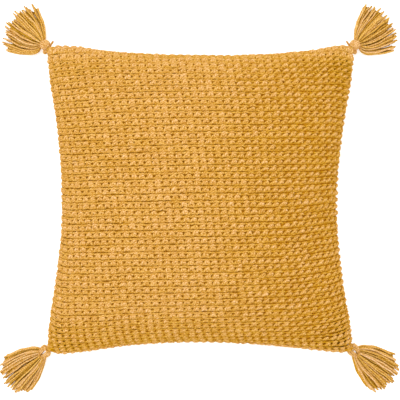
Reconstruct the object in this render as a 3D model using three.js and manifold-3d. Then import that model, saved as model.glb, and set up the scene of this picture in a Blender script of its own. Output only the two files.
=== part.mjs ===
import * as THREE from 'three';
import { mergeVertices } from 'three/addons/utils/BufferGeometryUtils.js';
import Module from 'manifold-3d';

const wasm = await Module();
wasm.setup();

// A square crocheted cushion with a tassel at each corner, lying on its back, in millimetres.
// +Z is the face that shows, +Y its top edge, and z = 0 the surface that it rests on.

// Cushion outline, at the height of its edge
const CORNER_HALF_SPAN = 222.8;
const CORNER_ROUNDING = { side: 2.5, top: 2.5, bottom: 7 };
const CORNER_ROUNDING_POWER = { side: 16, top: 16, bottom: 30 };
const EDGE_INSET = { left: 24, right: 27, top: 15, bottom: 18.5 };
const EDGE_INSET_POWER = 1.5;

// Cushion heights
const EDGE_HEIGHT = 52;
const CORNER_DROOP = 20;
const CORNER_DROOP_POWER = 4;
const FACE_CROWN = 62;
const BACK_CROWN = 59;
const CROWN_POWER = 0.6;
const CLOTH_THICKNESS = 4;
const CLOTH_ROUNDING_POWER = 16;
const REST_BLEND = 3;
const FILLING_UNEVENNESS = 1.2;
const UNEVENNESS_LENGTH = { along: 31, up: 37, slant: 53 };
const GRID_CELLS = 30;
const GRID_CROWDING = 0.88;

// Tassel heads: a dome, a neck for the binding and a skirt that the strands leave from
const HEAD_SIDES = 12;
const DOME_ANGLES = [62, 34, 6, -22];
const DOME_STRETCH = 1.1;
const NECK_RADIUS = 4.2;
const NECK_FROM_HEAD = 0.8;
const LOBE_RADIUS_OVER = 0.9;
const LOBE_SEGMENTS = { round: 10, down: 7 };
const SKIRT_RADIUS = 7.6;
const SKIRT_LENGTH = 5.5;
const SKIRT_SHOULDER = { down: 0.2, narrowing: 1 };
const SKIRT_FOOT = { down: 0.75, narrowing: 0.8 };

// Strands of a tassel
const STRANDS_IN_A_LAYER = 15;
const STRAND_LAYERS = 3;
const STRAND_WIDTH = 2.5;
const STRAND_ROOT_WIDTH = 1.1;
const FULL_WIDTH = { from: 0.05, to: 0.5 };
const STRAND_RISE = 0.87;
const STRAND_STEPS = 5;
const STEP_GROWTH = 1.15;
const ROOT_DEPTH = 2.2;
const ROOT_SPREAD = 6.7;
const ROOT_LAYER_STEP = 3.2;
const ROOT_LAYER_NARROWING = 0.6;
const TIP_PULL = 0.36;
const TIP_RAGGEDNESS = 2.4;
const LAYER_GAP = 0.3;
const LEVEL_FROM = 0.62;

// Yarn of the bindings and ties
const BINDING_YARN_RADIUS = 1;
const BINDING_TURNS = 2;
const BINDING_WAIST = { out: 1.4, along: 0.9 };
const TIE_YARN_RADIUS = 1.4;
const TIE_SEGMENTS = { along: 8, quarter: 3 };
const KNOT_SEGMENTS = { round: 8, down: 6 };
const LOOP_SEGMENTS = { yarn: 6, round: 14 };
const PIECE_GAP = 0.3;

// Each fan of strands, for a tassel on the right. Its columns have five values, evenly from its
// first strand to its last. Headings are in degrees anticlockwise from +X: tip is where a tip is
// seen from the neck, leave the heading at the neck and arrive the heading at the tip. reach is
// from the neck to the tip, and pull how long a strand keeps its first heading, as part of that.
const FANS = {
  top: {
    headOffset: [6, 6.8],
    headHeight: 20,
    headRadius: 7.4,
    lobeRadius: 0,
    lobeSpread: 0,
    axisHeading: 30,
    axisPitch: -42,
    tip: [-12, 11, 34, 57, 79],
    leave: [-104, -24, 32, 82, 126],
    arrive: [14, 26, 37, 52, 66],
    reach: [51, 58, 59, 55.5, 56.5],
    pull: [0.5, 0.38, 0.38, 0.38, 0.54],
  },
  bottom: {
    headOffset: [6.8, -7.2],
    headHeight: 17,
    headRadius: 5.6,
    lobeRadius: 5.3,
    lobeSpread: 4.4,
    axisHeading: -30,
    axisPitch: -22,
    tip: [-75, -57, -39, -21, -3],
    leave: [-112, -80, -40, 24, 112],
    arrive: [-44, -50, -46, -44, -44],
    reach: [54, 63, 61.5, 58.5, 53],
    pull: [0.4, 0.38, 0.38, 0.38, 0.5],
  },
};

// outward is how much further out than its fan's headOffset a corner's head lies, and swing turns
// its whole fan, in degrees anticlockwise as for a tassel on the right
const CORNERS = [
  { name: 'top_left', side: -1, end: 1, fan: FANS.top, outward: 0, swing: 0, seed: 11 },
  { name: 'top_right', side: 1, end: 1, fan: FANS.top, outward: 0, swing: 0, seed: 23 },
  { name: 'bottom_left', side: -1, end: -1, fan: FANS.bottom, outward: 2.4, swing: -3, seed: 37 },
  { name: 'bottom_right', side: 1, end: -1, fan: FANS.bottom, outward: 0.4, swing: -1, seed: 53 },
];

// Ties, as places near a corner: outward from its tip, along Y away from the middle, and height
const TOP_TIE = {
  route: [[-7, 11.6, 21], [-4.2, 7, 24], [-0.5, 1.8, 25.6], [3.4, -2.4, 25.6], [7, -6, 24.5]],
  knot: [7.2, -6.4, 24],
  knotRadii: [2.8, 3.5, 2.6],
};
const BOTTOM_TIE = { middle: [1.3, 1.3, 26.4], pitch: -48, radius: 2.7, yarnRadius: 1 };

const COLOUR = {
  cover: 0xd8a04b,
  tassel: 0xdba450,
  tie: 0xcf963f,
};

const { lerp, degToRad, smoothstep } = THREE.MathUtils;

function seededRandom(seed) {
  let state = seed;
  return () => {
    state = (state * 16807) % 2147483647;
    return state / 2147483647;
  };
}

function yarnMaterial(color) {
  return new THREE.MeshStandardMaterial({ color, roughness: 0.92, metalness: 0 });
}

function namedMesh(name, geometry, color) {
  const mesh = new THREE.Mesh(geometry, yarnMaterial(color));
  mesh.name = name;
  return mesh;
}

// A geometry whose triangles share their corners, without the flat triangles at a lathe's poles
function sharedCorners(geometry) {
  const plain = geometry.clone();
  plain.deleteAttribute('normal');
  plain.deleteAttribute('uv');
  const merged = mergeVertices(plain, 1e-4);
  const index = merged.index.array;
  const kept = [];
  for (let i = 0; i < index.length; i += 3) {
    const [a, b, c] = [index[i], index[i + 1], index[i + 2]];
    if (a !== b && b !== c && c !== a) {
      kept.push(a, b, c);
    }
  }
  merged.setIndex(kept);
  return merged;
}

function toSolid(geometry) {
  const merged = sharedCorners(geometry);
  return new wasm.Manifold(new wasm.Mesh({
    numProp: 3,
    vertProperties: new Float32Array(merged.attributes.position.array),
    triVerts: new Uint32Array(merged.index.array),
  }));
}

function toGeometry(solid) {
  const mesh = solid.getMesh();
  const geometry = new THREE.BufferGeometry();
  geometry.setAttribute('position', new THREE.BufferAttribute(mesh.vertProperties, 3));
  geometry.setIndex(new THREE.BufferAttribute(mesh.triVerts, 1));
  geometry.computeVertexNormals();
  return geometry;
}

function join(geometries) {
  return toGeometry(geometries.map(toSolid).reduce((whole, piece) => whole.add(piece)));
}

// How strongly an edge is drawn in at a place u along it: 0 at its corners and 1 midway
function drawnIn(u) {
  return (1 - u * u) ** EDGE_INSET_POWER;
}

// How far the outline stands back near a corner, at a place u along the edge
function roundedBack(edge, u) {
  return CORNER_ROUNDING[edge] * u ** CORNER_ROUNDING_POWER[edge];
}

// How far an inset between two opposite edges has gone over to the second one at a place u
function between(insetAtMinus, insetAtPlus, u) {
  return lerp(insetAtMinus, insetAtPlus, (u + 1) / 2);
}

// s runs from the left edge, -1, to the right edge, 1, and t from the bottom edge to the top edge
function cushionPoint(s, t, isFace) {
  const sideInset = between(EDGE_INSET.left, EDGE_INSET.right, s);
  const endInset = between(EDGE_INSET.bottom, EDGE_INSET.top, t);
  const endRounding = between(roundedBack('bottom', s), roundedBack('top', s), t);
  const x = s * (CORNER_HALF_SPAN - roundedBack('side', t) - sideInset * drawnIn(t));
  const y = t * (CORNER_HALF_SPAN - endRounding - endInset * drawnIn(s));
  const edge = EDGE_HEIGHT - CORNER_DROOP * (s * t) ** CORNER_DROOP_POWER;
  const swell = ((1 - s * s) * (1 - t * t)) ** CROWN_POWER;
  const cloth = CLOTH_THICKNESS
    * Math.sqrt((1 - s ** CLOTH_ROUNDING_POWER) * (1 - t ** CLOTH_ROUNDING_POWER));
  if (isFace) {
    const { along, up, slant } = UNEVENNESS_LENGTH;
    const uneven = FILLING_UNEVENNESS * swell * (Math.sin(x / along + 1) + Math.sin(y / up - x / slant));
    return new THREE.Vector3(x, y, edge + cloth + FACE_CROWN * swell + uneven);
  }
  return new THREE.Vector3(x, y, restedHeight(edge - cloth - BACK_CROWN * swell));
}

// The back is flat where it would pass through the surface below, with a soft start to the flat
function restedHeight(z) {
  if (z > REST_BLEND) {
    return z;
  }
  return z < -REST_BLEND ? 0 : (z + REST_BLEND) ** 2 / (4 * REST_BLEND);
}

// A grid place from -1 to 1, crowded towards the edges, where the cushion curves most
function gridPlace(i) {
  const bend = (GRID_CROWDING * Math.PI) / 2;
  return Math.sin(bend * ((2 * i) / GRID_CELLS - 1)) / Math.sin(bend);
}

function cushionGeometry() {
  const positions = [];
  const index = [];
  const row = GRID_CELLS + 1;
  for (const isFace of [true, false]) {
    const first = positions.length / 3;
    for (let j = 0; j < row; j += 1) {
      for (let i = 0; i < row; i += 1) {
        positions.push(...cushionPoint(gridPlace(i), gridPlace(j), isFace));
      }
    }
    for (let j = 0; j < GRID_CELLS; j += 1) {
      for (let i = 0; i < GRID_CELLS; i += 1) {
        const a = first + j * row + i;
        const corners = [a, a + 1, a + row + 1, a + row];
        const towardsCorner = (i < GRID_CELLS / 2) === (j < GRID_CELLS / 2);
        const [p, q, r, v] = towardsCorner ? corners : [...corners.slice(1), corners[0]];
        index.push(...(isFace ? [p, q, r, p, r, v] : [p, r, q, p, v, r]));
      }
    }
  }
  const geometry = new THREE.BufferGeometry();
  geometry.setAttribute('position', new THREE.Float32BufferAttribute(positions, 3));
  geometry.setIndex(index);
  const closed = sharedCorners(geometry);
  closed.computeVertexNormals();
  return closed;
}

// Directions of a tassel on the right, turned over to the left where its side is -1
function direction(side, heading, pitch = 0) {
  const flat = Math.cos(degToRad(pitch));
  return new THREE.Vector3(
    side * flat * Math.cos(degToRad(heading)),
    flat * Math.sin(degToRad(heading)),
    Math.sin(degToRad(pitch)),
  );
}

function tasselPlace({ side, end, fan, outward, swing }) {
  const corner = cushionPoint(side, end, true);
  const head = new THREE.Vector3(
    corner.x + side * (fan.headOffset[0] + outward),
    corner.y + fan.headOffset[1],
    fan.headHeight,
  );
  const axis = direction(side, fan.axisHeading + swing, fan.axisPitch);
  const grooveStart = NECK_FROM_HEAD * Math.max(fan.headRadius, fan.lobeRadius + LOBE_RADIUS_OVER);
  const grooveEnd = grooveStart + 2 * BINDING_TURNS * BINDING_YARN_RADIUS + 2 * PIECE_GAP;
  const neck = head.clone().addScaledVector(axis, grooveEnd);
  const turn = new THREE.Quaternion().setFromUnitVectors(new THREE.Vector3(0, -1, 0), axis);
  const matrix = new THREE.Matrix4().compose(head, turn, new THREE.Vector3(1, 1, 1));
  return { corner, head, axis, neck, matrix, grooveStart, grooveEnd };
}

// The rounded head, its neck groove for the binding and the skirt that the strands leave from.
// Its profile is turned about the tassel's axis, with the neck towards -Y.
function headGeometry(radius, { matrix, grooveStart, grooveEnd }) {
  const dome = DOME_ANGLES.map((angle) => new THREE.Vector2(
    radius * Math.cos(degToRad(angle)),
    radius * DOME_STRETCH * Math.sin(degToRad(angle)),
  ));
  const skirt = [SKIRT_SHOULDER, SKIRT_FOOT].map(({ down, narrowing }) => new THREE.Vector2(
    SKIRT_RADIUS * narrowing,
    -grooveEnd - SKIRT_LENGTH * down,
  ));
  const profile = [
    new THREE.Vector2(0, radius * DOME_STRETCH),
    ...dome,
    new THREE.Vector2(NECK_RADIUS, -grooveStart),
    new THREE.Vector2(NECK_RADIUS, -grooveEnd),
    ...skirt,
    new THREE.Vector2(0, -grooveEnd - SKIRT_LENGTH),
  ];
  return new THREE.LatheGeometry(profile.reverse(), HEAD_SIDES).applyMatrix4(matrix);
}

// A closed three-sided prism along a path, its flat side down
function strandGeometry(points, widths) {
  const up = new THREE.Vector3(0, 0, 1);
  const positions = [];
  const index = [];
  points.forEach((point, i) => {
    const before = points[Math.max(i - 1, 0)];
    const after = points[Math.min(i + 1, points.length - 1)];
    const along = after.clone().sub(before).normalize();
    const across = along.clone().cross(up).normalize();
    const above = across.clone().cross(along);
    const corners = [[-0.5, 0], [0.5, 0], [0, STRAND_RISE]];
    corners.forEach(([a, b]) => {
      const corner = point.clone()
        .addScaledVector(across, a * widths[i])
        .addScaledVector(above, b * widths[i]);
      positions.push(corner.x, corner.y, corner.z);
    });
    if (i > 0) {
      const [p, q] = [3 * (i - 1), 3 * i];
      for (let k = 0; k < 3; k += 1) {
        const n = (k + 1) % 3;
        index.push(p + k, q + n, p + n, p + k, q + k, q + n);
      }
    }
  });
  const last = 3 * (points.length - 1);
  index.push(0, 1, 2, last, last + 2, last + 1);
  const geometry = new THREE.BufferGeometry();
  geometry.setAttribute('position', new THREE.Float32BufferAttribute(positions, 3));
  geometry.setIndex(index);
  return geometry;
}

// A column's value at f, from 0 at the fan's first strand to 1 at its last
function fanValue(column, f) {
  const place = f * (column.length - 1);
  const before = Math.min(Math.floor(place), column.length - 2);
  return lerp(column[before], column[before + 1], place - before);
}

// One cut strand: it leaves the skirt, sinks to its layer and lies level up to its tip
function strand({ side, fan, swing }, { neck, axis }, f, layer, raggedness) {
  const u = 2 * f - 1;
  const towards = (heading) => direction(side, heading + swing);
  const reach = fanValue(fan.reach, f) - raggedness;
  const tip = neck.clone().addScaledVector(towards(fanValue(fan.tip, f)), reach);
  const root = neck.clone()
    .addScaledVector(axis, ROOT_DEPTH)
    .addScaledVector(towards(fan.axisHeading + 90), u * ROOT_SPREAD);
  root.z += (layer - 1) * ROOT_LAYER_STEP * (1 - ROOT_LAYER_NARROWING * u * u);
  const pull = reach * fanValue(fan.pull, f);
  const curve = new THREE.CubicBezierCurve3(
    root,
    root.clone().addScaledVector(towards(fanValue(fan.leave, f)), pull),
    tip.clone().addScaledVector(towards(fanValue(fan.arrive, f)), -reach * TIP_PULL),
    tip,
  );
  const restHeight = layer * (STRAND_WIDTH * STRAND_RISE + LAYER_GAP);
  const points = [];
  const widths = [];
  for (let i = 0; i <= STRAND_STEPS; i += 1) {
    const along = (i / STRAND_STEPS) ** STEP_GROWTH;
    const point = curve.getPoint(along);
    point.z = lerp(root.z, restHeight, smoothstep(along, 0, LEVEL_FROM));
    points.push(point);
    const filledOut = smoothstep(along, FULL_WIDTH.from, FULL_WIDTH.to);
    widths.push(lerp(STRAND_ROOT_WIDTH, STRAND_WIDTH, filledOut));
  }
  return strandGeometry(points, widths);
}

// The two halves of the folded yarn, which stand out on both sides of a head
function lobeGeometries({ side, fan, swing }, { head }) {
  if (fan.lobeRadius === 0) {
    return [];
  }
  const sideways = direction(side, fan.axisHeading + swing + 90);
  return [-fan.lobeSpread, fan.lobeSpread].map((spread) => {
    const middle = head.clone().addScaledVector(sideways, spread);
    return new THREE.SphereGeometry(fan.lobeRadius, LOBE_SEGMENTS.round, LOBE_SEGMENTS.down)
      .translate(...middle);
  });
}

function tasselGeometry(corner, place) {
  const random = seededRandom(corner.seed);
  const pieces = [headGeometry(corner.fan.headRadius, place), ...lobeGeometries(corner, place)];
  for (let layer = 0; layer < STRAND_LAYERS; layer += 1) {
    for (let i = 0; i < STRANDS_IN_A_LAYER; i += 1) {
      const f = (i + (layer + 0.5) / STRAND_LAYERS) / STRANDS_IN_A_LAYER;
      pieces.push(strand(corner, place, f, layer, TIP_RAGGEDNESS * random()));
    }
  }
  return join(pieces);
}

// The turns of yarn round the neck, as one ring with a waist between each two turns
function bindingGeometry({ matrix, grooveStart }) {
  const inner = NECK_RADIUS + PIECE_GAP;
  const r = BINDING_YARN_RADIUS;
  const start = grooveStart + PIECE_GAP;
  const profile = [new THREE.Vector2(inner, -start)];
  const waist = inner + BINDING_WAIST.out * r;
  for (let turn = 0; turn < BINDING_TURNS; turn += 1) {
    const middle = start + (2 * turn + 1) * r;
    profile.push(new THREE.Vector2(waist, -middle + BINDING_WAIST.along * r));
    profile.push(new THREE.Vector2(inner + 2 * r, -middle));
    profile.push(new THREE.Vector2(waist, -middle - BINDING_WAIST.along * r));
  }
  profile.push(new THREE.Vector2(inner, -start - 2 * BINDING_TURNS * r));
  profile.push(profile[0].clone());
  const lathe = new THREE.LatheGeometry(profile.reverse(), HEAD_SIDES).applyMatrix4(matrix);
  const ring = sharedCorners(lathe);
  ring.computeVertexNormals();
  return ring;
}

// A place near a corner of the cushion: outward and along Y from its tip, and its height
function nearCorner({ side, end }, { corner }, [outward, alongY, height]) {
  return new THREE.Vector3(corner.x + side * outward, corner.y + end * alongY, height);
}

function topTieGeometry(corner, place) {
  const route = TOP_TIE.route.map((spot) => nearCorner(corner, place, spot));
  const section = new THREE.Shape();
  section.absarc(0, 0, TIE_YARN_RADIUS, 0, 2 * Math.PI);
  const looseEnd = new THREE.ExtrudeGeometry(section, {
    steps: TIE_SEGMENTS.along,
    curveSegments: TIE_SEGMENTS.quarter,
    extrudePath: new THREE.CatmullRomCurve3(route),
  });
  const knotPlace = nearCorner(corner, place, TOP_TIE.knot);
  const knot = new THREE.SphereGeometry(1, KNOT_SEGMENTS.round, KNOT_SEGMENTS.down)
    .scale(...TOP_TIE.knotRadii)
    .translate(knotPlace.x, knotPlace.y, knotPlace.z);
  return join([looseEnd, knot]);
}

// A small open loop that hangs from the corner's tip down to the tassel's head
function bottomTieGeometry(corner, place) {
  const { side, fan } = corner;
  const { radius, yarnRadius, pitch } = BOTTOM_TIE;
  const middle = nearCorner(corner, place, BOTTOM_TIE.middle);
  const down = direction(side, fan.axisHeading, pitch);
  const across = direction(side, fan.axisHeading + 90);
  const facing = down.clone().cross(across);
  const matrix = new THREE.Matrix4().makeBasis(down, across, facing).setPosition(middle);
  if (side < 0) {
    matrix.makeBasis(down, across.negate(), facing.negate()).setPosition(middle);
  }
  const loop = sharedCorners(
    new THREE.TorusGeometry(radius, yarnRadius, LOOP_SEGMENTS.yarn, LOOP_SEGMENTS.round),
  ).applyMatrix4(matrix);
  loop.computeVertexNormals();
  return loop;
}

const group = new THREE.Group();
group.add(namedMesh('cushion_body', cushionGeometry(), COLOUR.cover));
for (const corner of CORNERS) {
  const place = tasselPlace(corner);
  const tie = corner.end > 0 ? topTieGeometry(corner, place) : bottomTieGeometry(corner, place);
  group.add(namedMesh(`tassel_${corner.name}`, tasselGeometry(corner, place), COLOUR.tassel));
  group.add(namedMesh(`tassel_binding_${corner.name}`, bindingGeometry(place), COLOUR.tie));
  group.add(namedMesh(`tassel_tie_${corner.name}`, tie, COLOUR.tie));
}

// The origin is the middle of the whole part's box, on the surface below
const middle = new THREE.Box3().setFromObject(group).getCenter(new THREE.Vector3());
group.position.set(-middle.x, -middle.y, 0);
group.updateMatrixWorld(true);

export default group;
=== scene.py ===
import math

import bpy
import numpy as np
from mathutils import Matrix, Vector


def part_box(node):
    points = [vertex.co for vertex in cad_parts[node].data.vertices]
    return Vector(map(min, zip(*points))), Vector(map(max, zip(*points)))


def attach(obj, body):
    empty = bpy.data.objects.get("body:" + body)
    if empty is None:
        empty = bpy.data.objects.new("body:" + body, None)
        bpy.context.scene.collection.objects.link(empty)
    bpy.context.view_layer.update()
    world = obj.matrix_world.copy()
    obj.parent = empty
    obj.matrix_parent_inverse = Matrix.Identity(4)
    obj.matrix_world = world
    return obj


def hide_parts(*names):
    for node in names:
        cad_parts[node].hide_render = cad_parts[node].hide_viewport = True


# A square crocheted cushion with a yarn tassel at each corner, lying on its back.
# Lengths are in millimetres up to where a mesh is made, and in metres from there.
MM = 0.001

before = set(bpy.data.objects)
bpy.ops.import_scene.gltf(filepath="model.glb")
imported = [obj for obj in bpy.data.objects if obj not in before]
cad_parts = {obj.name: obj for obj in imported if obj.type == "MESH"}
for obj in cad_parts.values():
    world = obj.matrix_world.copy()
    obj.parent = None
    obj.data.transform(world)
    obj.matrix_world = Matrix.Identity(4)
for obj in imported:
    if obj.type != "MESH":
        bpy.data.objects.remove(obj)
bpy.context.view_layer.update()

# Where the cushion's own middle lies in the row frame
CUSHION_MIDDLE = (0.26, -1.71, 0.0)

# Cushion outline and heights, as in the solid
CORNER_HALF_SPAN = 222.8
CORNER_ROUNDING = {"side": 2.5, "top": 2.5, "bottom": 7.0}
CORNER_ROUNDING_POWER = {"side": 16, "top": 16, "bottom": 30}
EDGE_INSET = {"left": 24.0, "right": 27.0, "top": 15.0, "bottom": 18.5}
EDGE_INSET_POWER = 1.5
# The edges are a little more uneven than the solid's. This is how much further each is drawn in,
# at places along it from the left or from the bottom.
EDGE_PLACES = [-1, -0.9, -0.75, -0.5, -0.25, 0, 0.25, 0.5, 0.75, 0.82, 0.88, 0.94, 1]
EDGE_UNEVENNESS = {
    "left": [0, 0.3, 0.8, 0.8, 1.4, 0.6, 0.5, 1.2, 0.8, 0.6, 0.4, 0.2, 0],
    "right": [0, 0.2, 0.4, 0.3, -0.8, -1.2, -2.3, -2.4, -2.8, -2.6, -2.2, -1.6, 0],
    "bottom": [0, -1.8, -1.2, 0.9, 0.3, 0, 0, 1.0, 1.5, 1.0, 0.7, 0.4, 0],
    "top": [0, 0.1, 0.2, 0.9, -0.3, -0.8, 0.8, 2.4, 2.0, 0, -1.9, -3.1, 0],
}
EDGE_HEIGHT = 52.0
CORNER_DROOP = 20.0
CORNER_DROOP_POWER = 4
FACE_CROWN = 62.0
BACK_CROWN = 59.0
CROWN_POWER = 0.6
CLOTH_THICKNESS = 4.0
CLOTH_ROUNDING_POWER = 16
REST_BLEND = 3.0
FILLING_UNEVENNESS = 1.2
UNEVENNESS_LENGTH = {"along": 31.0, "up": 37.0, "slant": 53.0}

# Rows of stitches, which run round the cushion
ROWS = 48
USUAL_ROW_PERCENT = 2.2
STITCHES_ROUND = 80
GRID_LEVELS = 271
COLUMN_LEAN = 0.11
PLACES_PER_STITCH = 12
OUTLINE_SAMPLES = 160
HEIGHT_SAMPLES = 400
ROW_GROUPS = 5
YARN_SIDES = 6
FINE_YARN_SIDES = 5
STRAND_SIDES = 6
# The stitches lean over to the right, more towards the right edge
LEAN = {"left": 0.0, "right": 0.85}

# How far across the face, from its middle, the stitches begin to look as at the right edge, and how
# near the first and the last row they no longer do, as a share of all rows
RIGHT_SIDE = {"from": 0.4, "to": 1.0, "near_end": 0.09}
# The stitches stand further apart near the right edge and the bottom. from and to are shares of the
# way down the face, and thinner is how much less yarn there is between them.
STITCHES_APART = {"from": 0.8, "to": 1.0, "thinner": 0.2}
# Yarn is thinner in narrow rows and thicker in wide ones, but no more than this
THICKNESS_LIMITS = (0.75, 1.15)

# Where the rows begin, in percent of the way down the face, at places in percent across it. They
# spread at the corners, most at the bottom right, and close up over the top and bottom edges.
ROW_PLACES_ACROSS = [3, 10, 20, 34, 50, 66, 80, 90, 97]
ROW_PLACES = {
    0: [0, 0, 0, 0, 0, 0, 0, 0, 0],
    2: [6.0, 5.8, 4.7, 3.6, 2.7, 3.3, 3.8, 4.7, 5.1],
    5: [11.3, 11.3, 10.4, 9.8, 9.6, 9.8, 9.6, 10.0, 10.4],
    9: [19.6, 19.6, 18.9, 18.2, 18.2, 18.2, 18.0, 18.5, 18.7],
    15: [31.7, 31.9, 31.7, 31.3, 31.3, 31.0, 30.8, 31.3, 31.3],
    21: [44.1, 44.1, 43.9, 43.9, 43.7, 43.5, 43.3, 43.3, 43.0],
    28: [59.6, 59.3, 59.3, 59.6, 59.3, 59.1, 58.7, 57.8, 57.6],
    35: [74.9, 74.4, 74.9, 75.1, 74.9, 74.4, 73.8, 72.4, 71.6],
    41: [88.2, 87.6, 88.0, 88.0, 87.6, 87.1, 86.7, 85.1, 83.8],
    45: [95.8, 95.1, 95.6, 95.6, 95.6, 95.1, 94.2, 92.7, 91.3],
    48: [100, 100, 100, 100, 100, 100, 100, 100, 100],
}

# One stitch in named columns. along is in stitch widths from the stitch's middle, up in row
# heights from the row's middle, depth in mm from the cover's surface to the yarn's middle.
MOUND = {
    "along": [-0.49, -0.37, -0.25, -0.09, 0.07, 0.19, 0.29, 0.38],
    "up": [-0.42, -0.36, -0.21, -0.04, 0.05, -0.01, -0.19, -0.36],
    "depth": [3.4, 3.1, 2.7, 2.4, 2.3, 2.4, 2.8, 3.2],
    "radius": [2.0, 2.2, 2.5, 2.6, 2.6, 2.6, 2.5, 2.2],
}
FILLER = {
    "along": [-0.50, -0.22, 0.03, 0.27],
    "up": [-0.375, -0.35, -0.32, -0.35],
    "depth": [3.1, 2.9, 2.8, 2.9],
    "radius": [2.0, 2.1, 2.2, 2.1],
}
BAND = {
    "along": [-0.50, -0.32, -0.13, 0.07, 0.24, 0.37],
    "up": [0.27, 0.22, 0.26, 0.30, 0.26, 0.22],
    "depth": [3.0, 2.7, 2.5, 2.4, 2.5, 2.7],
    "radius": [1.9, 2.1, 2.0, 2.0, 2.0, 2.1],
}
# What changes at the right edge, in the same units. radius is the share of it that is left there,
# and dip how much deeper the yarn lies between two stitches, near the bottom too.
AT_RIGHT = {
    "mound": {"up": 0.02, "depth": -0.3, "radius": 0.84, "dip": 1.2},
    "filler": {"up": 0.0, "depth": 1.2, "radius": 1.0, "dip": 0.6},
    "band": {"up": 0.03, "depth": 0.3, "radius": 1.0, "dip": 1.8},
}
# How much each size varies from stitch to stitch
UNEVENLY_WORKED = {
    "mound": {"along": 0.07, "up": 0.05, "depth": 0.3, "radius": 0.09, "tint": 0.04},
    "filler": {"along": 0.06, "up": 0.04, "depth": 0.4, "radius": 0.12, "tint": 0.05},
    "band": {"along": 0.07, "up": 0.05, "depth": 0.4, "radius": 0.11, "tint": 0.04},
}
ROW_LINES = (
    ("mound", MOUND, YARN_SIDES),
    ("filler", FILLER, FINE_YARN_SIDES),
    ("band", BAND, YARN_SIDES),
)
# How much the yarn's line and its radius vary from place to place
YARN_WANDER = 0.16
YARN_SWELL = 0.06

# The closed body under the stitches, painted darker as the shade seen in the gaps between them
GROUND_DEPTH = 3.5
GROUND_CORNER_SHRINK = 0.035
GROUND_TURNS = 160
GROUND_LEVELS = {"from": 0.008, "to": 0.992, "count": 91}
GROUND_LOWEST = 0.8

# The chain worked along the top and the bottom edge, one loop in named columns. along is in loops,
# out and height in mm from the edge.
SEAM_LOOPS = 38
SEAM = {
    "along": [-0.48, -0.36, -0.22, -0.08, 0.06, 0.19, 0.30, 0.41],
    "out": [-0.9, -0.5, 0.2, 0.7, 0.8, 0.4, -0.2, -0.7],
    "height": [-1.5, -0.8, 0.4, 1.4, 1.4, 0.7, -0.4, -1.2],
    "radius": [1.9, 2.1, 2.2, 2.3, 2.3, 2.2, 2.1, 2.0],
}
SEAM_SINK = {"top": 3.6, "bottom": 3.5}
# A stretch of the top edge, from the left corner, where the chain stands up
RAISED_EDGE = {
    "rise_from": -0.99, "rise_to": -0.93, "fall_from": -0.74, "fall_to": -0.68, "height": 2.6,
}
SEAM_SAMPLES = 1001

# The yarn is painted paler and pinker where it is raised and on its upper side, a painted
# highlight, and darker and deeper in colour in the gaps, painted shade. As its tone darkens, green
# and blue fall faster than red.
YARN_COLOUR = (0.525, 0.268, 0.044)
FADING_POWER = (0.8, 1.3, 3.2)
# Painted shade and highlight: yarn lying deeper than the middle lift is painted darker and with
# less blue, yarn lying higher is painted paler and with more blue
LIFT_DEPTH = 3.6
LIFT_PAINTED_SHADE = 0.34
MIDDLE_LIFT = 0.6
BLUE_IN_PAINTED_SHADE = 0.0
BLUE_IN_PAINTED_HIGHLIGHT = 1.4
LEAST_TONE = 0.1
FIBRES = {"scale": 600.0, "tone": 1.6, "relief": 0.5}
BATCHES = {"scale": 60.0, "tone": 0.10}
# Painted shade: the ply's tone darkens the grooves between plies and lightens their crowns; its
# relief is a bump
PLY = {"middle": 0.64, "tone": 0.45, "relief": 0.7}
RELIEF = {"strength": 0.6, "distance": 0.0006}

# The camera looks straight down at the cushion's middle
CAMERA_HEIGHT = 1852.0
VIEW_HALF_WIDTH = 286.0
VIEW_DISTANCE = 1800.0
SENSOR_WIDTH = 36.0


def smoothstep(x, start, end):
    u = np.clip((x - start) / (end - start), 0, 1)
    return u * u * (3 - 2 * u)


def lerp(a, b, f):
    return a + (b - a) * f


def unit(v):
    return v / np.maximum(np.linalg.norm(v, axis=-1, keepdims=True), 1e-9)


# The cushion's surface. s runs from the left edge, -1, to the right, 1, and t from the bottom up.
def rounded_back(edge, u):
    return CORNER_ROUNDING[edge] * np.abs(u) ** CORNER_ROUNDING_POWER[edge]


def rested_height(z):
    soft = (z + REST_BLEND) ** 2 / (4 * REST_BLEND)
    return np.where(z > REST_BLEND, z, np.where(z < -REST_BLEND, 0.0, soft))


def uneven_inset(low_edge, high_edge, along, across):
    low = np.interp(along, EDGE_PLACES, EDGE_UNEVENNESS[low_edge])
    high = np.interp(along, EDGE_PLACES, EDGE_UNEVENNESS[high_edge])
    return lerp(low, high, (across + 1) / 2)


def cushion_point(s, t, is_face):
    drawn_side = (1 - t * t) ** EDGE_INSET_POWER
    drawn_end = (1 - s * s) ** EDGE_INSET_POWER
    side_inset = lerp(EDGE_INSET["left"], EDGE_INSET["right"], (s + 1) / 2) * drawn_side
    side_inset = side_inset + uneven_inset("left", "right", t, s)
    end_inset = lerp(EDGE_INSET["bottom"], EDGE_INSET["top"], (t + 1) / 2) * drawn_end
    end_inset = end_inset + uneven_inset("bottom", "top", s, t)
    end_rounding = lerp(rounded_back("bottom", s), rounded_back("top", s), (t + 1) / 2)
    x = s * (CORNER_HALF_SPAN - rounded_back("side", t) - side_inset)
    y = t * (CORNER_HALF_SPAN - end_rounding - end_inset)
    edge = EDGE_HEIGHT - CORNER_DROOP * (s * t) ** CORNER_DROOP_POWER
    swell = ((1 - s * s) * (1 - t * t)) ** CROWN_POWER
    power = CLOTH_ROUNDING_POWER
    cloth = CLOTH_THICKNESS * np.sqrt((1 - s ** power) * (1 - t ** power))
    if not is_face:
        return np.stack([x, y, rested_height(edge - cloth - BACK_CROWN * swell)], axis=-1)
    length = UNEVENNESS_LENGTH
    waves = np.sin(x / length["along"] + 1) + np.sin(y / length["up"] - x / length["slant"])
    z = edge + cloth + FACE_CROWN * swell + FILLING_UNEVENNESS * swell * waves
    return np.stack([x, y, z], axis=-1)


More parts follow.
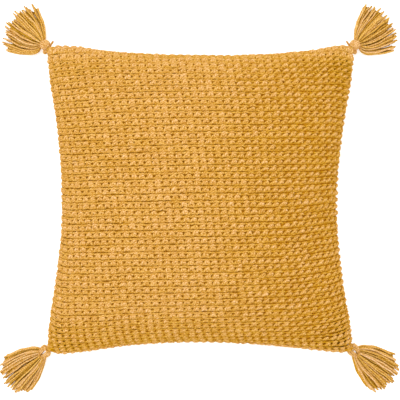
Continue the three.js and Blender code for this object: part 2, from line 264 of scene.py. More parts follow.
def resampled(points, count, closed):
    """count points at equal distances along a line of points."""
    if closed:
        points = np.concatenate([points, points[:1]])
    steps = np.linalg.norm(np.diff(points, axis=0), axis=1)
    reached = np.concatenate([[0], np.cumsum(steps)])
    wanted = np.linspace(0, reached[-1], count, endpoint=not closed)
    return np.stack([np.interp(wanted, reached, points[:, k]) for k in range(3)], axis=-1)


def cover_grid():
    """Points and outward directions of the cover, [round, up], with round from the left edge."""
    turn = np.linspace(-math.pi / 2, math.pi / 2, OUTLINE_SAMPLES + 1)
    heights = np.sin(np.linspace(-math.pi / 2, math.pi / 2, HEIGHT_SAMPLES + 1))
    levels = GRID_LEVELS
    halves = []
    for is_face in (True, False):
        lines = []
        for s in np.sin(turn):
            line = cushion_point(np.full_like(heights, s), heights, is_face)
            lines.append(resampled(line, levels, closed=False))
        halves.append(np.array(lines))
    loops = np.concatenate([halves[0], halves[1][::-1][1:-1]])
    round_count = STITCHES_ROUND * PLACES_PER_STITCH
    points = np.stack(
        [resampled(loops[:, k], round_count, closed=True) for k in range(levels)], axis=1)
    across = np.roll(points, -2, axis=0) - np.roll(points, 2, axis=0)
    upward = np.gradient(points, axis=1)
    return points, unit(np.cross(across, upward))


COVER_POINTS, COVER_NORMALS = cover_grid()


def on_cover(turn, level):
    """The cover's points and outward directions at places round it and up it, from 0 to 1."""
    count, levels = COVER_POINTS.shape[:2]
    a = (turn % 1.0) * count
    b = np.clip(level, 0, 1) * (levels - 1)
    i = np.floor(a).astype(int) % count
    j = np.minimum(np.floor(b).astype(int), levels - 2)
    fa = (a - np.floor(a))[..., None]
    fb = (b - j)[..., None]
    n = (i + 1) % count
    found = []
    for values in (COVER_POINTS, COVER_NORMALS):
        low = lerp(values[i, j], values[n, j], fa)
        high = lerp(values[i, j + 1], values[n, j + 1], fa)
        found.append(lerp(low, high, fb))
    return found[0], unit(found[1])


class YarnBuilder:
    """Collects tubes of yarn, each a line of points with directions and radii, into one mesh."""

    def __init__(self):
        self.points = []
        self.quads = []
        self.caps = []
        self.marks = []
        self.cap_marks = []
        self.lifts = []
        self.count = 0

    def add(self, lines, normals, radii, closed, sides=YARN_SIDES, tint=None, lift=None):
        """lines is [tube, place, xyz], and tint and lift have a value for each place."""
        tubes, places = lines.shape[:2]
        if closed:
            tangent = np.roll(lines, -1, axis=1) - np.roll(lines, 1, axis=1)
        else:
            tangent = np.gradient(lines, axis=1)
        tangent = unit(tangent)
        across = unit(np.cross(tangent, normals))
        above = np.cross(across, tangent)
        angle = np.arange(sides) * 2 * math.pi / sides
        ring = (across[:, :, None, :] * np.cos(angle)[:, None]
                + above[:, :, None, :] * np.sin(angle)[:, None])
        self.points.append((lines[:, :, None, :] + ring * radii[:, :, None, None]).reshape(-1, 3))
        if lift is None:
            lift = np.full((tubes, places), MIDDLE_LIFT)
        # Painted highlight: the upper side of each tube is given a higher lift, so it is painted
        # lighter
        painted_top_light = np.maximum(np.sin(angle), ring[..., 2]) * radii[:, :, None] / LIFT_DEPTH
        self.lifts.append(np.clip(lift[:, :, None] + painted_top_light, 0, 1).ravel())
        step = np.linalg.norm(np.diff(lines, axis=1), axis=2)
        along = np.concatenate([np.zeros((tubes, 1)), np.cumsum(step, axis=1)], axis=1)
        if tint is None:
            tint = np.zeros((tubes, places))
        spans = places if closed else places - 1
        first = np.arange(spans)
        after = (first + 1) % places
        k = np.arange(sides)
        k_next = (k + 1) % sides
        base = self.count + np.arange(tubes)[:, None, None] * places * sides
        here = base + first[None, :, None] * sides
        ahead = base + after[None, :, None] * sides
        quads = np.stack([here + k, ahead + k, ahead + k_next, here + k_next], axis=-1)
        self.quads.append(quads.reshape(-1, 4))
        shape = (tubes, spans, sides)
        low = np.broadcast_to(along[:, :spans, None], shape)
        closing = np.linalg.norm(lines[:, 0] - lines[:, -1], axis=1)[:, None]
        tops = np.concatenate([along[:, 1:], along[:, -1:] + closing], axis=1)
        high = np.broadcast_to(tops[:, :spans, None], shape)
        around = np.broadcast_to(k / sides, shape)
        around_next = np.broadcast_to((k + 1) / sides, shape)
        shade = np.broadcast_to(tint[:, :spans, None], shape)
        corners = [(around, low), (around, high), (around_next, high), (around_next, low)]
        marks = np.stack([np.stack([a, b, shade], axis=-1) for a, b in corners], axis=-2)
        self.marks.append(marks.reshape(-1, 3))
        if not closed:
            start = base[:, 0, 0][:, None] + k[::-1]
            end = base[:, 0, 0][:, None] + (places - 1) * sides + k
            self.caps.extend([start, end])
            for place in (0, places - 1):
                mark = np.stack([np.broadcast_to(k / sides, (tubes, sides)),
                                 np.broadcast_to(along[:, place, None], (tubes, sides)),
                                 np.broadcast_to(tint[:, place, None], (tubes, sides))], axis=-1)
                self.cap_marks.append(mark.reshape(-1, 3))
        self.count += tubes * places * sides

    def build(self, name, material):
        points = np.concatenate(self.points)
        rows = [np.concatenate(self.quads)] + self.caps
        return mesh_object(name, points, rows, material,
                           np.concatenate(self.marks + self.cap_marks),
                           np.concatenate(self.lifts))


def mesh_object(name, points, face_groups, material, marks=None, lifts=None):
    """A smooth mesh in metres. Each group holds faces with the same number of corners."""
    mesh = bpy.data.meshes.new(name)
    mesh.vertices.add(len(points))
    mesh.vertices.foreach_set("co", (points * MM + ORIGIN).astype(np.float32).ravel())
    corners = np.concatenate([group.ravel() for group in face_groups]).astype(np.int32)
    sizes = np.concatenate([np.full(len(group), group.shape[1]) for group in face_groups])
    starts = np.concatenate([[0], np.cumsum(sizes)[:-1]]).astype(np.int32)
    mesh.loops.add(len(corners))
    mesh.loops.foreach_set("vertex_index", corners)
    mesh.polygons.add(len(sizes))
    mesh.polygons.foreach_set("loop_start", starts)
    mesh.update(calc_edges=True)
    if marks is not None:
        layer = mesh.attributes.new("yarn", "FLOAT_VECTOR", "CORNER")
        layer.data.foreach_set("vector", marks.astype(np.float32).ravel())
    if lifts is not None:
        layer = mesh.attributes.new("lift", "FLOAT", "POINT")
        layer.data.foreach_set("value", lifts.astype(np.float32))
    mesh.shade_smooth()
    mesh.materials.append(material)
    piece = bpy.data.objects.new(name, mesh)
    bpy.context.scene.collection.objects.link(piece)
    return piece


def declare(piece, slot, *nodes):
    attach(piece, "root")
    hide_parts(*nodes)


# Where the cushion's own middle lies in the row frame, and the middle of its solid there
ORIGIN = np.array(CUSHION_MIDDLE) * MM
low_corner, high_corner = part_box("cushion_body")
box_middle = (np.array(low_corner) + np.array(high_corner)) / 2


def yarn_material(name, shade=1.0, ply_count=4, ply_length=4.4):
    """Matte twisted yarn. Its ply runs round the yarn as it goes along it."""
    material = bpy.data.materials.new(name)
    material.use_nodes = True
    nodes = material.node_tree.nodes
    links = material.node_tree.links
    shader = nodes["Principled BSDF"]
    shader.inputs["Roughness"].default_value = 0.9
    shader.inputs["Specular IOR Level"].default_value = 0.05

    def math_node(operation, a, b=None):
        node = nodes.new("ShaderNodeMath")
        node.operation = operation
        for socket, value in zip(node.inputs, (a, b)):
            if isinstance(value, (int, float)):
                socket.default_value = value
            elif value is not None:
                links.new(value, socket)
        return node.outputs[0]

    mark = nodes.new("ShaderNodeAttribute")
    mark.attribute_name = "yarn"
    split = nodes.new("ShaderNodeSeparateXYZ")
    links.new(mark.outputs["Vector"], split.inputs[0])
    around = math_node("MULTIPLY", split.outputs["X"], 2 * math.pi * ply_count)
    along = math_node("MULTIPLY", split.outputs["Y"], 2 * math.pi / ply_length)
    half_turn = math_node("MULTIPLY", math_node("SUBTRACT", around, along), 0.5)
    ply = math_node("ABSOLUTE", math_node("SINE", half_turn))

    place = nodes.new("ShaderNodeTexCoord")

    def noise(scale):
        node = nodes.new("ShaderNodeTexNoise")
        node.inputs["Scale"].default_value = scale
        node.inputs["Detail"].default_value = 2.0
        links.new(place.outputs["Object"], node.inputs["Vector"])
        return node.outputs["Fac"]

    fibres = noise(FIBRES["scale"])
    batches = noise(BATCHES["scale"])

    # tone of the yarn: fibres, batches along it, its ply, its own tint and how far it is raised.
    # The ply term is painted shade in the ply's grooves, and the raised term is painted shade on
    # deep yarn and a painted highlight on raised yarn
    lift = nodes.new("ShaderNodeAttribute")
    lift.attribute_name = "lift"
    total = split.outputs["Z"]
    for value, middle, amount in (
        (fibres, 0.5, FIBRES["tone"]),
        (batches, 0.5, BATCHES["tone"]),
        (ply, PLY["middle"], PLY["tone"]),
        (lift.outputs["Fac"], MIDDLE_LIFT, LIFT_PAINTED_SHADE),
    ):
        part = math_node("MULTIPLY", math_node("SUBTRACT", value, middle), amount)
        total = math_node("ADD", total, part)
    tone = math_node("MULTIPLY", math_node("ADD", total, 1.0), shade)
    tone = math_node("MAXIMUM", tone, LEAST_TONE)
    colour = nodes.new("ShaderNodeCombineXYZ")
    # Painted shade and highlight: less blue where the yarn lies deep, more where it is raised
    blue_span = BLUE_IN_PAINTED_HIGHLIGHT - BLUE_IN_PAINTED_SHADE
    blue_left = math_node("MULTIPLY", lift.outputs["Fac"], blue_span)
    blue_left = math_node("ADD", blue_left, BLUE_IN_PAINTED_SHADE)
    parts = [YARN_COLOUR[0], YARN_COLOUR[1], math_node("MULTIPLY", blue_left, YARN_COLOUR[2])]
    for socket, part, power in zip(colour.inputs, parts, FADING_POWER):
        links.new(math_node("MULTIPLY", math_node("POWER", tone, power), part), socket)
    links.new(colour.outputs["Vector"], shader.inputs["Base Color"])

    ply_relief = math_node("MULTIPLY", ply, PLY["relief"])
    relief = math_node("ADD", ply_relief, math_node("MULTIPLY", fibres, FIBRES["relief"]))
    bump = nodes.new("ShaderNodeBump")
    bump.inputs["Strength"].default_value = RELIEF["strength"]
    bump.inputs["Distance"].default_value = RELIEF["distance"]
    links.new(relief, bump.inputs["Height"])
    links.new(bump.outputs["Normal"], shader.inputs["Normal"])
    return material


def row_level(row, turn):
    """How far up the cover a row place is, from 0 to 1, at places round it."""
    across = np.abs((turn + 0.5) % 1.0 - 0.5) * 200
    column = np.interp(across, ROW_PLACES_ACROSS, np.arange(len(ROW_PLACES_ACROSS)))
    left = np.minimum(column.astype(int), len(ROW_PLACES_ACROSS) - 2)
    known_rows = list(ROW_PLACES)
    table = np.array([ROW_PLACES[known] for known in known_rows])
    place = np.stack([np.interp(row, known_rows, values) for values in table.T], axis=-1)
    low = np.take_along_axis(place, left[..., None], axis=-1)[..., 0]
    high = np.take_along_axis(place, left[..., None] + 1, axis=-1)[..., 0]
    return 1 - lerp(low, high, column - left) / 100


def stitch_lines(table, rows, random, jitter, at_right):
    """The line of yarn of each row, as points, outward directions, radii, tints and lifts, which
    paint deeper yarn darker as shade.
    """
    columns = {key: np.array(values) for key, values in table.items()}
    places = len(columns["along"])
    shape = (len(rows), STITCHES_ROUND, places)
    window = np.cos(math.pi * columns["along"]) ** 2
    stitch = np.arange(STITCHES_ROUND)[None, :, None] + 0.5

    def vary(amount):
        return random.normal(0, amount, shape[:2])[:, :, None] * window

    row = np.array(rows)[:, None, None]
    turn = stitch + COLUMN_LEAN * row + columns["along"] + vary(jitter["along"])
    up = columns["up"] + vary(jitter["up"])
    depth = columns["depth"] + vary(jitter["depth"])
    stitch_turn = stitch / STITCHES_ROUND
    row_size = row_level(row, stitch_turn) - row_level(row + 1.0, stitch_turn)
    thickness = np.clip(row_size * 100 / USUAL_ROW_PERCENT, *THICKNESS_LIMITS)
    radius = columns["radius"] * thickness * (1 + vary(jitter["radius"]))
    tint = np.broadcast_to(random.normal(0, jitter["tint"], shape[:2])[:, :, None], shape)
    turn, row_place = np.broadcast_arrays(turn / STITCHES_ROUND, row + 0.5 - up)
    across = np.abs((turn + 0.5) % 1.0 - 0.5) * 2
    from_end = np.minimum(row + 0.5, ROWS - 0.5 - row) / ROWS
    rightness = smoothstep(across, RIGHT_SIDE["from"], RIGHT_SIDE["to"])
    rightness = rightness * smoothstep(from_end, 0.0, RIGHT_SIDE["near_end"])
    turn = turn + lerp(LEAN["left"], LEAN["right"], rightness) * up / STITCHES_ROUND
    row_place = row_place - at_right["up"] * rightness * window
    near_bottom = smoothstep((row + 0.5) / ROWS, STITCHES_APART["from"], STITCHES_APART["to"])
    between = (1 - window) * np.maximum(rightness, near_bottom)
    depth = depth + at_right["depth"] * rightness + at_right["dip"] * between
    level = row_level(row_place, turn)
    points, normals = on_cover(turn, level)
    points = points - normals * np.broadcast_to(depth, shape)[..., None]
    flat = (len(rows), STITCHES_ROUND * places)
    radius = radius * lerp(1.0, at_right["radius"], rightness)
    radius = (radius * (1 - STITCHES_APART["thinner"] * between)).reshape(flat)
    # Painted shade: yarn lying deeper under the cover's surface gets a lower lift, so it is painted
    # darker
    lift = 1 - np.broadcast_to(depth, shape).reshape(flat) / LIFT_DEPTH
    return points.reshape(*flat, 3), normals.reshape(*flat, 3), radius, tint.reshape(flat), lift


def make_cover():
    random = np.random.default_rng(5)
    material = yarn_material("cover_yarn")
    pieces = []
    for group in range(ROW_GROUPS):
        rows = list(range(ROWS * group // ROW_GROUPS, ROWS * (group + 1) // ROW_GROUPS))
        builder = YarnBuilder()
        for kind, table, sides in ROW_LINES:
            points, normals, radius, tint, lift = stitch_lines(
                table, rows, random, UNEVENLY_WORKED[kind], AT_RIGHT[kind])
            points = points + random.normal(0, YARN_WANDER, points.shape)
            radius = radius * random.normal(1, YARN_SWELL, radius.shape)
            points[..., 2] = np.maximum(points[..., 2], radius)
            builder.add(points, normals, radius, closed=True, sides=sides, tint=tint, lift=lift)
        pieces.append(builder.build(f"cover_rows_{group + 1}", material))
    return pieces


def make_seams():
    """The chain along the top and the bottom edge."""
    random = np.random.default_rng(8)
    builder = YarnBuilder()
    loop = np.arange(SEAM_LOOPS)[:, None] + 0.5
    along = np.array(SEAM["along"])
    places = len(along)
    reached = np.linspace(0, 1, SEAM_SAMPLES)
    for edge, end in (("top", 1.0), ("bottom", -1.0)):
        s = np.linspace(-1, 1, OUTLINE_SAMPLES)
        line = cushion_point(s, np.full_like(s, end), True)
        line = resampled(line, SEAM_SAMPLES, closed=False)
        shift = random.normal(0, 0.08, (SEAM_LOOPS, 1)) * np.cos(math.pi * along) ** 2
        place = np.clip((loop + along + shift) / SEAM_LOOPS, 0, 1).ravel()
        points = np.stack([np.interp(place, reached, line[:, k]) for k in range(3)], axis=-1)
        out = np.tile(SEAM["out"], SEAM_LOOPS) - SEAM_SINK[edge]
        if edge == "top":
            s_here = points[:, 0] / CORNER_HALF_SPAN
            rise = smoothstep(s_here, RAISED_EDGE["rise_from"], RAISED_EDGE["rise_to"])
            fall = smoothstep(s_here, RAISED_EDGE["fall_from"], RAISED_EDGE["fall_to"])
            out = out + RAISED_EDGE["height"] * rise * (1 - fall)
        points[:, 1] += end * out
        points[:, 2] += np.tile(SEAM["height"], SEAM_LOOPS)
        points = points + random.normal(0, 0.1, points.shape)
        radius = np.tile(SEAM["radius"], SEAM_LOOPS)
        radius = radius * random.normal(1, YARN_SWELL, SEAM_LOOPS * places)
        normals = np.broadcast_to(np.array([0, 0, 1.0]), points.shape)
        tint = np.repeat(random.normal(0, 0.05, SEAM_LOOPS), places)
        builder.add(points[None], normals[None], radius[None], closed=False, tint=tint[None])
    return builder.build("cover_seams", yarn_material("seam_yarn"))


def make_ground():
    """The closed body under the stitches, painted darker as the shade seen in the gaps between
    them.
    """
    turns = np.arange(0, 1, 1 / GROUND_TURNS)
    levels = np.linspace(GROUND_LEVELS["from"], GROUND_LEVELS["to"], GROUND_LEVELS["count"])
    grid_turn, grid_level = np.meshgrid(turns, levels, indexing="ij")
    points, normals = on_cover(grid_turn, grid_level)
    points = points - normals * GROUND_DEPTH
    cornered = np.abs(points[..., :1] * points[..., 1:2]) / CORNER_HALF_SPAN ** 2
    points[..., :2] *= 1 - GROUND_CORNER_SHRINK * cornered ** 5
    points[..., 2] = np.maximum(points[..., 2], GROUND_LOWEST)
    n, m = points.shape[:2]
    index = np.arange(n * m).reshape(n, m)
    ahead = np.roll(index, -1, axis=0)
    quads = np.stack([index[:, :-1], ahead[:, :-1], ahead[:, 1:], index[:, 1:]], axis=-1)
    quads = quads.reshape(-1, 4)
    half = n // 2
    i = np.arange(half)
    caps = []
    for level, flip in ((0, True), (m - 1, False)):
        cap = np.stack([index[i, level], index[(i + 1) % n, level],
                        index[(n - i - 1) % n, level], index[(n - i) % n, level]], axis=-1)
        middle = cap[1:-1]
        caps.append(middle[:, ::-1] if flip else middle)
        ends = np.array([[cap[0, 0], cap[0, 1], cap[0, 2]], [cap[-1, 0], cap[-1, 1], cap[-1, 3]]])
        caps.append(ends[:, ::-1] if flip else ends)
    # Painted shade: the ground gets a darker shade and a low lift, so the gaps read as deep shaded
    # yarn; it is painted lighter towards the corners, where it shows between the rows
    material = yarn_material("cover_ground_painted_shade", shade=0.9)
    lifts = (0.25 + 0.75 * smoothstep(cornered, 0.8, 0.97)).ravel()
    points = points.reshape(-1, 3)
    return mesh_object("cover_ground_painted_shade", points, [quads] + caps, material, lifts=lifts)


ground = make_ground()
declare(ground, "cover", "cushion_body")
for piece in make_cover():
    declare(piece, "cover", "cushion_body")
declare(make_seams(), "cover", "cushion_body")


# Tassels. Their sizes are in mm and their headings in degrees, anticlockwise from +X for a tassel
# on the right. Columns have five values, evenly from a fan's first strand to its last.
NECK_RADIUS = 4.2
BINDING_YARN_RADIUS = 0.8
BINDING_TURNS = 2.6
FANS = {
    "top": {
        "head_offset": (5.0, 5.3), "head_height": 20.0, "head_radius": 7.8,
        "axis_heading": 30, "axis_pitch": -42, "groove_start": 4.4, "groove_end": 8.2,
        "fan_start": 5.8, "tip": [-12, 11, 35, 59, 82], "reach": [54, 60, 61, 62, 58],
        "side": [-9.5, -5, 0, 4, 7.0], "ahead": [3.5, 6, 7, 6, 4.0],
        "leave": [-56, -24, 32, 76, 90], "arrive": [8, 24, 37, 54, 68],
        "pull": [0.24, 0.34, 0.34, 0.34, 0.36],
    },
    "bottom": {
        "head_offset": (4.8, -5.8), "head_height": 17.0, "head_radius": 5.6,
        "axis_heading": -31, "axis_pitch": -22, "groove_start": 4.6, "groove_end": 8.4,
        "fan_start": 8.4, "tip": [-76, -57, -38, -19, 1], "reach": [53, 65, 65, 61.5, 51.5],
        "side": [-4.8, -3.8, 0, 4.5, 8.0], "ahead": [-1.0, 3, 6, 4, -0.5],
        "leave": [-74, -66, -40, -4, 24], "arrive": [-46, -50, -42, -34, -24],
        "pull": [0.3, 0.34, 0.34, 0.34, 0.3],
    },
}
CORNERS = [
    {"name": "top_left", "side": -1, "end": 1, "fan": "top", "shift": (0, 0), "seed": 11},
    {"name": "top_right", "side": 1, "end": 1, "fan": "top", "shift": (0, 0), "seed": 23},
    {"name": "bottom_left", "side": -1, "end": -1, "fan": "bottom", "shift": (2.2, -1.9),
     "seed": 37},
    {"name": "bottom_right", "side": 1, "end": -1, "fan": "bottom", "shift": (0, 0),
     "seed": 53},
]
STRANDS_IN_LAYERS = [42, 22, 17, 13]
STRAND_LAYERS = len(STRANDS_IN_LAYERS)
STRAND_RADIUS = 1.35
UNDER_STRANDS_SHORTER = 4.0
STRAND_PLACES = 22
STRAND_REACH_VARIES = (-8.0, 2.4)
STRAND_WAVES = (1.2, 2.6)
STRAND_SWAY = (0.3, 1.1)
STRAND_RISE = 0.5
# Strands leave the neck in layers this far apart, and lie on each other on the floor
NECK_LAYER = {"height": 3.1, "lowest": -0.9}
FLOOR_LAYER_IN_RADII = 1.7
FLOOR_GAP_IN_RADII = 1.02
ROUND_HEAD = {"strands": 15, "yarn_radius": 1.45, "core_sides": 12}
LOOPED_HEAD = {"rings": 3, "levels": 4, "yarn_radius": 1.35, "eye_back": 6.0, "eye_aside": 2.2}


def direction(side, heading, pitch=0.0):
    """Directions of a tassel on the right, turned over to the left where side is -1."""
    heading = np.radians(heading)
    pitch = math.radians(pitch)
    flat = math.cos(pitch)
    x = side * flat * np.cos(heading)
    y = flat * np.sin(heading)
    return np.stack([x, y, np.full_like(x, math.sin(pitch))], axis=-1)


def tassel_place(corner):
    fan = FANS[corner["fan"]]
    side = corner["side"]
    tip = cushion_point(np.array(float(side)), np.array(float(corner["end"])), True)
    head = tip + np.array([side * (fan["head_offset"][0] + corner["shift"][0]),
                           fan["head_offset"][1] + corner["shift"][1], 0])
    head[2] = fan["head_height"]
    axis = direction(side, fan["axis_heading"], fan["axis_pitch"])
    level_axis = direction(side, fan["axis_heading"])
    sideways = direction(side, fan["axis_heading"] + 90)
    above = np.cross(axis, sideways) * side
    neck = head + axis * fan["groove_end"]
    start = head + level_axis * fan["fan_start"]
    return {"tip": tip, "head": head, "axis": axis, "level_axis": level_axis, "neck": neck,
            "start": start, "sideways": sideways, "above": above,
            "groove_start": fan["groove_start"], "groove_end": fan["groove_end"]}


def fan_value(column, f):
    return np.interp(f, np.linspace(0, 1, len(column)), column)


def smoothed(lines, passes):
    for _ in range(passes):
        inner = (lines[:, :-2] + 2 * lines[:, 1:-1] + lines[:, 2:]) / 4
        lines = np.concatenate([lines[:, :1], inner, lines[:, -1:]], axis=1)
    return lines


def add_strands(builder, corner, place, random):
    fan = FANS[corner["fan"]]
    side = corner["side"]
    up = np.array([0, 0, 1.0])
    for layer, count in enumerate(STRANDS_IN_LAYERS):
        scatter = random.uniform(-0.45, 0.45, count)
        f = np.clip((np.arange(count) + (layer + 0.5) / STRAND_LAYERS + scatter) / count, 0, 1)
        u = 2 * f - 1
        short = UNDER_STRANDS_SHORTER if layer == 0 else 0.0
        reach = fan_value(fan["reach"], f) + random.uniform(*STRAND_REACH_VARIES, count) - short
        tip = place["start"] + direction(side, fan_value(fan["tip"], f)) * reach[:, None]
        root = (place["head"] + place["level_axis"] * fan_value(fan["ahead"], f)[:, None]
                + place["sideways"] * fan_value(fan["side"], f)[:, None])
        step = (layer + NECK_LAYER["lowest"]) * NECK_LAYER["height"]
        root[:, 2] = place["neck"][2] + step * (1 - 0.6 * u * u)
        pull = (reach * fan_value(fan["pull"], f))[:, None]
        leave = root + direction(side, fan_value(fan["leave"], f)) * pull
        arrive = tip - direction(side, fan_value(fan["arrive"], f)) * (reach * 0.36)[:, None]
        along = np.linspace(0, 1, STRAND_PLACES) ** 1.1
        a = along[None, :, None]
        lines = (root[:, None] * (1 - a) ** 3 + 3 * leave[:, None] * a * (1 - a) ** 2
                 + 3 * arrive[:, None] * a * a * (1 - a) + tip[:, None] * a ** 3)
        rest = STRAND_RADIUS * (FLOOR_GAP_IN_RADII + layer * FLOOR_LAYER_IN_RADII)
        sunk = smoothstep(along, 0, 0.62)[None, :]
        lines[:, :, 2] = lerp(root[:, 2][:, None], rest, sunk)

        # waves along each strand
        phase = random.uniform(0, 2 * math.pi, (count, 1))
        waves = random.uniform(*STRAND_WAVES, (count, 1))
        sway = random.uniform(*STRAND_SWAY, (count, 1))
        sway = sway * np.sin(2 * math.pi * waves * along + phase)
        sway = sway * smoothstep(along, 0.1, 0.5)
        across = unit(np.cross(unit(np.gradient(lines, axis=1)), up))
        lines = lines + across * sway[:, :, None]
        lift_wave = np.abs(np.sin(2 * math.pi * waves * along * 0.7 + phase * 1.7))
        lines[:, :, 2] += STRAND_RISE * lift_wave * smoothstep(along, 0.2, 0.6)
        inside = (place["head"] + place["axis"] * (place["groove_end"] - 1.0)
                  + place["sideways"] * (u * 3.0)[:, None])
        higher = (layer - 1.5) * 1.5 * np.sqrt(1 - 0.8 * u * u)
        inside = inside + place["above"] * higher[:, None]
        lines = smoothed(np.concatenate([inside[:, None], lines], axis=1), 3)
        lines[:, 1:, 2] = np.maximum(lines[:, 1:, 2], STRAND_RADIUS * FLOOR_GAP_IN_RADII)
        full = np.concatenate([[0], along])
        radius = STRAND_RADIUS * lerp(0.62, 1.0, smoothstep(full, 0.0, 0.4))
        radius = radius * random.uniform(0.88, 1.1, (count, 1))
        radius[:, -1] *= 0.75
        shape = lines.shape[:2]
        tint = np.broadcast_to(random.normal(0.0, 0.06, (count, 1)), shape)
        # Lift is partly random tone and partly painted shade: each lower layer, lying under the
        # others, is painted darker
        lift = np.broadcast_to(random.uniform(-0.3, 0.25, (count, 1)) + 0.2 * layer, shape)
        normals = np.broadcast_to(up, lines.shape)
        builder.add(lines, normals, radius, closed=False, sides=STRAND_SIDES, tint=tint,
                    lift=lift)


def add_round_head(builder, place, radius, random):
    """A ball of folded yarn, its strands running from the far end down to the neck."""
    count = ROUND_HEAD["strands"]
    yarn = ROUND_HEAD["yarn_radius"]
    angles = np.radians(np.linspace(86, -46, 13))
    turn = np.arange(count) * 2 * math.pi / count
    out = (place["sideways"][None] * np.cos(turn)[:, None]
           + place["above"][None] * np.sin(turn)[:, None])
    ball = radius - yarn * 0.8
    lines = (place["head"] - place["axis"] * (np.sin(angles) * ball * 1.08)[None, :, None]
             + out[:, None] * (np.cos(angles) * ball)[None, :, None])
    neck = place["head"] + place["axis"] * place["groove_start"] + out * (NECK_RADIUS - yarn)
    lines = np.concatenate([lines, neck[:, None]], axis=1)
    lines = lines + out[:, None] * random.normal(0, 0.18, (count, 1, 1))
    normals = np.broadcast_to(out[:, None], lines.shape)
    swell = np.concatenate([np.sin(np.linspace(0.5, math.pi / 2, 7)), np.ones(6), [0.7]])
    radii = yarn * np.broadcast_to(swell, lines.shape[:2])
    tint = np.broadcast_to(random.normal(0.0, 0.04, (count, 1)), lines.shape[:2])
    builder.add(lines, normals, radii, closed=False, tint=tint)
    core_angles = np.radians(np.linspace(88, -60, 9))
    core = place["head"] - place["axis"] * (np.sin(core_angles) * (ball - 0.5))[:, None]
    widths = np.cos(core_angles) * (ball - 0.5)
    add_solid_round(builder, core, widths, place["sideways"])


def add_solid_round(builder, middles, widths, across):
    normals = np.broadcast_to(across, (1, len(middles), 3))
    builder.add(middles[None], normals, widths[None], closed=False,
                sides=ROUND_HEAD["core_sides"])


def add_looped_head(builder, place, random):
    """The folded yarn of a bottom tassel, opened into a ring round a small hole by the corner."""
    turns = np.linspace(-0.95, 0.95, 19) * math.pi
    towards_neck = -np.cos(turns)
    eye_back = LOOPED_HEAD["eye_back"]
    near = place["groove_end"] + eye_back
    eye = (place["head"] - place["axis"] * eye_back
           + place["sideways"] * LOOPED_HEAD["eye_aside"])
    for ring in range(LOOPED_HEAD["rings"]):
        far = 1.9 + 0.8 * ring
        wide = 2.8 + 2.4 * ring
        for level in range(LOOPED_HEAD["levels"]):
            ahead = towards_neck * np.where(towards_neck < 0, far, near)
            beside = np.sin(turns) * wide - 2.2 * np.clip(towards_neck, 0, 1)
            height = (level - 1.5) * 2.1 * (1 - 0.13 * ring)
            flatter = np.clip(1.15 - ahead / near, 0.4, 1)
            line = (eye + place["axis"] * ahead[:, None] + place["sideways"] * beside[:, None]
                    + place["above"] * (height * flatter)[:, None])
            line = line + random.normal(0, 0.25, 3)
            normals = np.broadcast_to(place["above"], (1, len(line), 3))
            tint = np.full((1, len(line)), random.normal(0, 0.05))
            radii = np.full((1, len(line)), LOOPED_HEAD["yarn_radius"])
            builder.add(line[None], normals, radii, closed=False, tint=tint)


def add_winding(builder, place, random):
    yarn = BINDING_YARN_RADIUS
    angle = np.linspace(0, 2 * math.pi * BINDING_TURNS, int(16 * BINDING_TURNS) + 1)
    span = place["groove_end"] - place["groove_start"] - 2 * yarn
    along = place["groove_start"] + yarn + span * angle / angle[-1]
    radius = NECK_RADIUS + 0.55 * yarn + 0.25 * np.sin(angle * 0.37 + random.uniform(0, 6))
    out = (place["sideways"] * np.cos(angle)[:, None] + place["above"] * np.sin(angle)[:, None])
    line = place["head"] + place["axis"] * along[:, None] + out * radius[:, None]
    radii = np.full((1, len(line)), yarn)
    builder.add(line[None], out[None], radii, closed=False)


def near_corner(corner, place, spots):
    spots = np.array(spots, float)
    scale = np.array([corner["side"], corner["end"], 1])
    points = spots * scale
    points[..., 0] += place["tip"][0]
    points[..., 1] += place["tip"][1]
    return points


TOP_TIE = {
    "route": [[-7.6, 10.6, 23], [-5.9, 8.4, 23], [-3.8, 5.5, 22], [-1, 2, 19], [3.4, -2.4, 19]],
    "knot": [5.0, -4.6, 20],
    "knot_radii": [3.4, 3.9, 3.2], "yarn_radius": 1.45, "knot_yarn_radius": 1.3,
    "knot_inset": 1.2,
}
BOTTOM_TIE = {"middle": [1.3, 1.3, 26.4], "pitch": -48, "radius": 2.7, "yarn_radius": 1.0}


def add_top_tie(builder, corner, place):
    route = near_corner(corner, place, TOP_TIE["route"])
    line = smoothed(resampled(route, 16, closed=False)[None], 2)
    normals = np.broadcast_to(np.array([0.0, 0.0, 1.0]), line.shape)
    builder.add(line, normals, np.full(line.shape[:2], TOP_TIE["yarn_radius"]), closed=False)
    knot = near_corner(corner, place, TOP_TIE["knot"])
    angle = np.linspace(0, 2 * math.pi * 4, 72)
    wide, tall, thick = TOP_TIE["knot_radii"]
    inset = TOP_TIE["knot_inset"]
    wind = np.stack([np.cos(angle) * np.cos(angle * 0.37) * (wide - inset),
                     np.sin(angle) * (tall - inset),
                     np.cos(angle) * np.sin(angle * 0.37) * (thick - inset)], axis=-1)
    line = (knot + wind)[None]
    out = unit(wind)[None]
    builder.add(line, out, np.full(line.shape[:2], TOP_TIE["knot_yarn_radius"]), closed=False)
    steps = np.linspace(-1, 1, 7)
    core = steps[:, None] * np.array([0, tall - 1.4, 0])
    widths = (wide - inset) * np.sqrt(1.02 - steps ** 2)
    add_solid_round(builder, knot + core, widths, np.array([1.0, 0, 0]))


def add_bottom_tie(builder, corner, place):
    fan = FANS[corner["fan"]]
    middle = near_corner(corner, place, BOTTOM_TIE["middle"])
    down = direction(corner["side"], fan["axis_heading"], BOTTOM_TIE["pitch"])
    across = direction(corner["side"], fan["axis_heading"] + 90)
    angle = np.arange(20) * 2 * math.pi / 20
    out = down * np.cos(angle)[:, None] + across * np.sin(angle)[:, None]
    line = (middle + out * BOTTOM_TIE["radius"])[None]
    builder.add(line, out[None], np.full(line.shape[:2], BOTTOM_TIE["yarn_radius"]), closed=True)


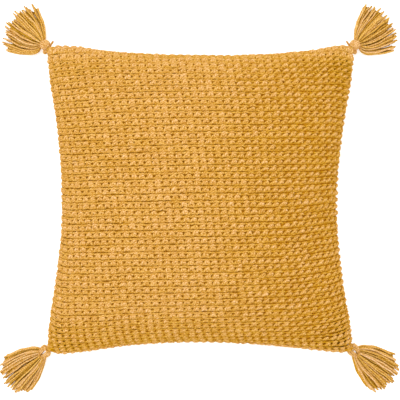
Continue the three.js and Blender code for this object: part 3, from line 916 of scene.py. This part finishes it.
tassel_yarn = yarn_material("tassel_yarn", shade=1.12, ply_count=3, ply_length=4.0)
tie_yarn = yarn_material("tie_yarn", shade=0.92, ply_count=3, ply_length=3.0)
for corner in CORNERS:
    random = np.random.default_rng(corner["seed"])
    place = tassel_place(corner)
    strands = YarnBuilder()
    add_strands(strands, corner, place, random)
    if corner["fan"] == "top":
        add_round_head(strands, place, FANS["top"]["head_radius"], random)
    else:
        add_looped_head(strands, place, random)
    name = corner["name"]
    declare(strands.build(f"yarn_tassel_{name}", tassel_yarn), "tassel", f"tassel_{name}")
    binding = YarnBuilder()
    add_winding(binding, place, random)
    declare(binding.build(f"yarn_binding_{name}", tie_yarn), "tie", f"tassel_binding_{name}")
    tie = YarnBuilder()
    if corner["fan"] == "top":
        add_top_tie(tie, corner, place)
    else:
        add_bottom_tie(tie, corner, place)
    declare(tie.build(f"yarn_tie_{name}", tie_yarn), "tie", f"tassel_tie_{name}")


# Floor, camera and light. The light's place and size are in metres and its power in watts.
FLOOR_HALF_SIZE = 4000.0
FLOOR_TONE = 0.86
FLOOR_GLOW = 0.4
FLOOR_DROP = 0.0002
KEY_LIGHT = {"place": (-0.5, 0.75, 3.1), "size": 1.4, "power": 45}
STUDIO_STRENGTH = 1.22


def make_floor():
    half = FLOOR_HALF_SIZE
    points = np.array([[-half, -half, 0], [half, -half, 0], [half, half, 0], [-half, half, 0]])
    material = bpy.data.materials.new("floor")
    material.use_nodes = True
    shader = material.node_tree.nodes["Principled BSDF"]
    shader.inputs["Base Color"].default_value = (FLOOR_TONE, FLOOR_TONE, FLOOR_TONE, 1)
    shader.inputs["Emission Color"].default_value = (1, 1, 1, 1)
    shader.inputs["Emission Strength"].default_value = FLOOR_GLOW
    shader.inputs["Roughness"].default_value = 1.0
    shader.inputs["Specular IOR Level"].default_value = 0.0
    floor = mesh_object("floor", points, [np.array([[0, 1, 2, 3]])], material)
    floor.location.z = -FLOOR_DROP


def make_camera():
    data = bpy.data.cameras.new("camera")
    data.sensor_width = SENSOR_WIDTH
    data.lens = SENSOR_WIDTH / 2 / (VIEW_HALF_WIDTH / VIEW_DISTANCE)
    camera = bpy.data.objects.new("camera", data)
    camera.location = (box_middle[0], box_middle[1], CAMERA_HEIGHT * MM)
    bpy.context.scene.collection.objects.link(camera)
    bpy.context.scene.camera = camera


def make_light(name, place, size, power):
    data = bpy.data.lights.new(name, "AREA")
    data.shape = "DISK"
    data.size = size
    data.energy = power
    light = bpy.data.objects.new(name, data)
    light.location = place
    towards = -light.location.normalized()
    light.rotation_euler = towards.to_track_quat("-Z", "Y").to_euler()
    bpy.context.scene.collection.objects.link(light)


make_floor()
make_camera()
make_light("key", KEY_LIGHT["place"], KEY_LIGHT["size"], KEY_LIGHT["power"])
world = bpy.data.worlds.new("studio")
world.use_nodes = True
world.node_tree.nodes["Background"].inputs["Color"].default_value = (1, 1, 1, 1)
world.node_tree.nodes["Background"].inputs["Strength"].default_value = STUDIO_STRENGTH
bpy.context.scene.world = world
bpy.context.scene.view_settings.view_transform = "Standard"
